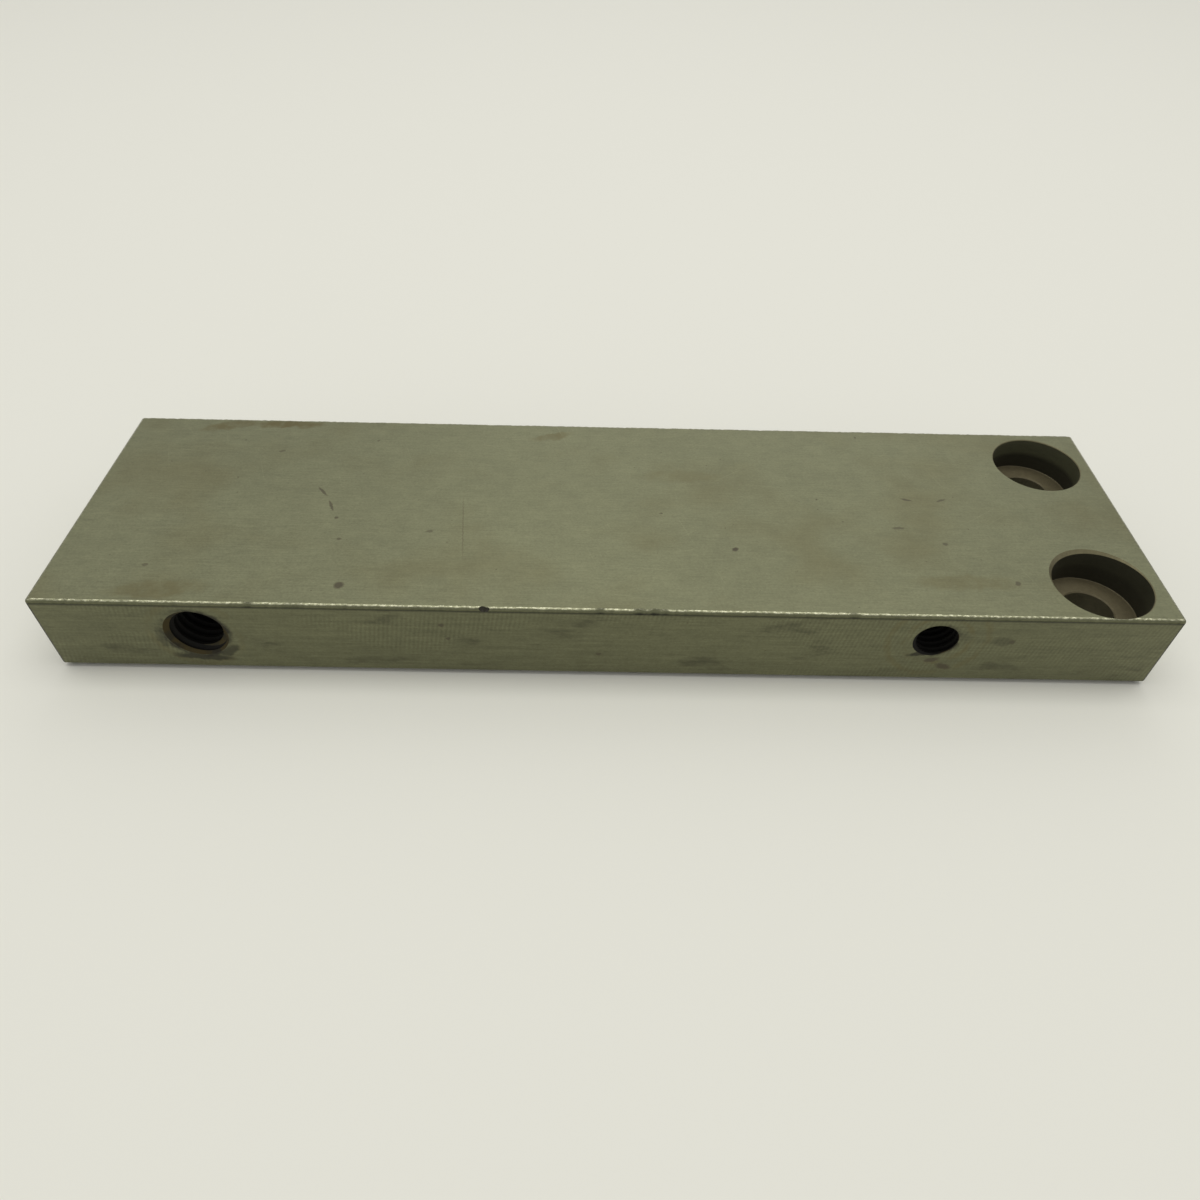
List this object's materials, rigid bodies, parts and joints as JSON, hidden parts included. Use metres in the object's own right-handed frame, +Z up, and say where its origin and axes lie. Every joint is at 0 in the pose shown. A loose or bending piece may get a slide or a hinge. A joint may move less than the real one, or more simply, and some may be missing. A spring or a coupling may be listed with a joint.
{
  "type": "machined mounting block",
  "caption": "Flat machined steel bar with counterbored screw holes through one end and tapped holes in its front edge.",
  "frame": {"origin": "centre of the underside, the flat face that the block stands on", "axes": "+X along the bar to the counterbored end, +Y from the tapped front edge to the back edge, +Z up out of the counterbores"},
  "size_m": [0.116, 0.032, 0.01],
  "materials": {
    "steel": "milled and ground, lightly stained and rusted"
  },
  "bodies": {
    "root": {"mounting_block": "steel"}
  },
  "joints": []
}
